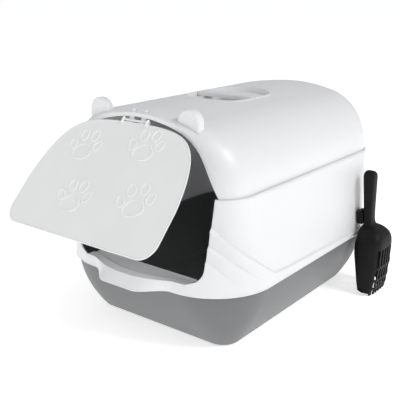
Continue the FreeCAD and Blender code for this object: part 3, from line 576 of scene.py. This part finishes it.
# ---------------------------------------------------------------- entry flap
# The flap is one sheet of frosted clear plastic, 2.4 mm thick, with a
# polished edge and embossed paw prints. It hangs from the pin by two arms.
HINGE = np.array([0.0, PIN_Y, PIN_Z])
OPEN = math.radians(44)
DOWN = np.array([0.0, -math.sin(OPEN), -math.cos(OPEN)])
FACE = np.array([0.0, -math.cos(OPEN), math.sin(OPEN)])
ACROSS = np.array([1.0, 0.0, 0.0])
FLAP_HALF, FLAP_HALF_THICK = 0.1545, 0.0012
PRINT_LIFT, PRINT_R = 0.0009, 0.0013
BEAD_R = 0.0016
ARM_X, ARM_TOP, ARM_LENGTH, ARM_HALF_X, ARM_HALF_LIFT = 0.0255, -0.0043, 0.0130, 0.0021, 0.0040


def flap_point(x, reach, lift):
    """A point of the flap: across, down from the pin, and out along the face."""
    x, reach, lift = np.broadcast_arrays(x, reach, lift)
    return HINGE + x[..., None] * ACROSS + reach[..., None] * DOWN + lift[..., None] * FACE


def flap_top(x):
    """Upper edge: a flat crown that falls away ever faster to the leaning side."""
    a = np.abs(x) / 0.1552
    return 0.0052 + 0.026 * a**2.6 + 0.125 * (1 - np.sqrt(np.maximum(1 - a**7, 0)))


def flap_low(x):
    """Lower edge: straight, with rounded corners 26 mm wide and 30 mm high."""
    past = np.clip(np.abs(x) - 0.1285, 0, 0.0262) / 0.0262
    return 0.2127 - 0.030 * (1 - np.sqrt(np.maximum(1 - past**2.2, 0)))


def rim_strip(a, b):
    """Narrow side of the sheet: an even blend from one face's edge to the other's."""
    t = np.linspace(0, 1, 5)[:, None, None]
    return a * (1 - t) + b * t


def frosted_plastic(name, tone, alpha, rough):
    """Milky see-through plastic: an even film of the given alpha, with a drift
    of 3 per cent round the tone and fine frosting."""
    mat, shader, coords = new_plastic(name)
    shader.inputs["Alpha"].default_value = alpha
    low = [c * 0.97 for c in tone]
    high = [min(1.0, c * 1.03) for c in tone]
    drift(shader, coords, 14.0, 2.0, low, high, (0.0, 1.0))
    texture(shader, coords, 1400.0, rough - 0.06, rough + 0.06, 0.06, 0.0003)
    return mat


across = FLAP_HALF * np.sin(np.linspace(-math.pi / 2, math.pi / 2, 121))
down_share = np.linspace(0, 1, 60)[:, None]
top, low = flap_top(across), flap_low(across)
reach = top + (low - top) * down_share
fronts = flap_point(across, reach, FLAP_HALF_THICK)
backs = flap_point(across, reach, -FLAP_HALF_THICK)
points, faces = stack(
    (fronts, False),
    (backs[::-1], False),
    (rim_strip(backs[0], fronts[0]), False),
    (rim_strip(fronts[-1], backs[-1]), False),
    (rim_strip(fronts[:, 0], backs[:, 0]), False),
    (rim_strip(backs[:, -1], fronts[:, -1]), False),
)
flap = add_mesh("flap_sheet", points, faces)
flap.data.materials.append(frosted_plastic("frosted_clear", (0.93, 0.935, 0.93), 0.90, 0.30))
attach(flap, "flap")
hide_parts("entry_flap")


def closed_tube(x, reach, lift, radius):
    """Tube along a closed line on the flap: each point plus radius times
    (outward normal of the line, face direction) round a full turn. The last
    row and column repeat the first."""
    dx, dr = np.roll(x, -1) - np.roll(x, 1), np.roll(reach, -1) - np.roll(reach, 1)
    size = np.hypot(dx, dr)
    nx, nr = dr / size, -dx / size
    a = np.linspace(0, 2 * math.pi, 8, endpoint=False)[:, None]
    tube = flap_point(x + radius * np.cos(a) * nx, reach + radius * np.cos(a) * nr,
                      lift + radius * np.sin(a))
    tube = np.concatenate([tube, tube[:1]]).transpose(1, 0, 2)
    return np.concatenate([tube, tube[:1]])


# the pads of one paw: place across and down, half width, half length and turn
PAW = (
    (0.0, 0.003, 0.0190, 0.0145, 0.0),
    (-0.0270, -0.0100, 0.0068, 0.0098, -0.45),
    (-0.0110, -0.0290, 0.0076, 0.0108, -0.10),
    (0.0130, -0.0290, 0.0076, 0.0108, 0.15),
    (0.0280, -0.0110, 0.0068, 0.0098, 0.45),
)
PAW_SIZE = 0.96

# the four prints: place across and down the flap, and tilt
PRINTS = (
    (0.082, 0.140, -0.28),
    (0.046, 0.050, -0.08),
    (-0.074, 0.068, -0.05),
    (-0.038, 0.157, -0.08),
)


def pads(middle_x, middle_reach, tilt):
    """Outlines of one paw print: a broad pad and four toes, each an ellipse
    whose far side is drawn in, turned by the tilt and scaled by the paw's size."""
    a = np.linspace(0, 2 * math.pi, 40, endpoint=False)
    cos_t, sin_t = math.cos(tilt), math.sin(tilt)
    for x, r, half_x, half_r, turn in PAW:
        px = half_x * np.cos(a) * (1 + 0.16 * np.sin(a))
        pr = half_r * np.sin(a)
        qx = x + px * math.cos(turn) - pr * math.sin(turn)
        qr = r + px * math.sin(turn) + pr * math.cos(turn)
        yield (middle_x + PAW_SIZE * (qx * cos_t - qr * sin_t),
               middle_reach + PAW_SIZE * (qx * sin_t + qr * cos_t))


lines = [line for place in PRINTS for line in pads(*place)]
points, faces = stack(*((closed_tube(*line, PRINT_LIFT, PRINT_R), False) for line in lines))
embossed = add_mesh("flap_paw_prints", points, faces)
embossed.data.materials.append(frosted_plastic("embossed_clear", (0.95, 0.955, 0.95), 0.93, 0.34))
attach(embossed, "flap")

edge_x = np.concatenate([across[::-1], across[1:-1]])
edge_reach = np.concatenate([flap_top(across)[::-1], flap_low(across)[1:-1]])
apart = np.concatenate([[True], np.hypot(np.diff(edge_x), np.diff(edge_reach)) > 4e-4])
points, faces = stack((closed_tube(edge_x[apart], edge_reach[apart], 0.0, BEAD_R), False))
edge_bead = add_mesh("flap_edge", points, faces)
edge_bead.data.materials.append(frosted_plastic("polished_edge", (0.90, 0.90, 0.90), 0.92, 0.18))
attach(edge_bead, "flap")

t = np.linspace(0, 1, 14)[:, None]
a = np.linspace(0, 2 * math.pi, 21)[None, :]
fat = np.sqrt(np.clip(1 - np.abs(2 * t - 1) ** 8, 0, 1))
arm_x = boxed(np.cos(a), 0.6) * ARM_HALF_X * fat
arm_lift = boxed(np.sin(a), 0.6) * ARM_HALF_LIFT * fat
points, faces = stack(*(
    (flap_point(middle_x + arm_x, ARM_TOP + ARM_LENGTH * t, arm_lift), False)
    for middle_x in (-ARM_X, ARM_X)
))
flap_arms = add_mesh("flap_arms", points, faces)
flap_arms.data.materials.append(frosted_plastic("arm_clear", (0.92, 0.92, 0.92), 1.0, 0.2))
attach(flap_arms, "flap")


# ---------------------------------------------------------------- studio
# A pale floor that runs back out of sight under an even white backdrop. A soft
# key light hangs high on the right, a larger and weaker one fills from the
# front left, and the air gives an even ambient light.
FLOOR_HALF = 60
AIM = (0, 0, 0.2)
LENS, SENSOR = 62.48, 36
LOOK_AT, DISTANCE = Vector((-0.06611, 0, 0.16905)), 1.3733
SWING, RISE = math.radians(37.85), math.radians(17.21)

corners = [(-FLOOR_HALF, -FLOOR_HALF, 0), (FLOOR_HALF, -FLOOR_HALF, 0),
           (FLOOR_HALF, FLOOR_HALF, 0), (-FLOOR_HALF, FLOOR_HALF, 0)]
ground = bpy.data.meshes.new("studio_floor")
ground.from_pydata(corners, [], [(0, 1, 2, 3)])
floor = bpy.data.objects.new("studio_floor", ground)
bpy.context.collection.objects.link(floor)
pale = bpy.data.materials.new("pale_floor")
pale.use_nodes = True
pale_shader = pale.node_tree.nodes["Principled BSDF"]
pale_shader.inputs["Base Color"].default_value = (0.9, 0.9, 0.89, 1)
pale_shader.inputs["Roughness"].default_value = 0.9
pale_shader.inputs["Emission Color"].default_value = (1, 1, 1, 1)
pale_shader.inputs["Emission Strength"].default_value = 0.55
ground.materials.append(pale)


def turn_to(thing, direction):
    """Turns a lamp or camera so that it looks along the direction, upright."""
    thing.rotation_euler = Vector(direction).to_track_quat("-Z", "Y").to_euler()


def soft_light(name, place, size, watts):
    """Round area lamp of the given size and power, aimed at the object."""
    lamp = bpy.data.lights.new(name, "AREA")
    lamp.shape, lamp.size, lamp.energy = "DISK", size, watts
    made = bpy.data.objects.new(name, lamp)
    bpy.context.collection.objects.link(made)
    made.location = place
    turn_to(made, np.array(AIM) - np.array(place))


soft_light("key", (3.30, 0.35, 2.95), 1.3, 71)
soft_light("fill", (-1.4, -4.2, 1.3), 2.4, 34)
world = bpy.data.worlds.new("studio_air")
world.use_nodes = True
air = world.node_tree
ambient = air.nodes["Background"]
ambient.inputs["Color"].default_value = (0.98, 0.99, 1.0, 1)
ambient.inputs["Strength"].default_value = 0.5
backdrop = air.nodes.new("ShaderNodeBackground")
backdrop.inputs["Color"].default_value = (1, 1, 1, 1)
backdrop.inputs["Strength"].default_value = 1.0
seen = air.nodes.new("ShaderNodeLightPath")
either = air.nodes.new("ShaderNodeMixShader")
air.links.new(seen.outputs["Is Camera Ray"], either.inputs["Fac"])
air.links.new(ambient.outputs["Background"], either.inputs[1])
air.links.new(backdrop.outputs["Background"], either.inputs[2])
air.links.new(either.outputs["Shader"], air.nodes["World Output"].inputs["Surface"])
bpy.context.scene.world = world
bpy.context.scene.view_settings.view_transform = "Standard"

camera = bpy.data.objects.new("camera", bpy.data.cameras.new("camera"))
bpy.context.collection.objects.link(camera)
camera.data.lens = LENS
camera.data.sensor_width = SENSOR
back = Vector((
    math.sin(SWING) * math.cos(RISE), -math.cos(SWING) * math.cos(RISE), math.sin(RISE)
))
camera.location = LOOK_AT + back * DISTANCE
turn_to(camera, -back)
bpy.context.scene.camera = camera
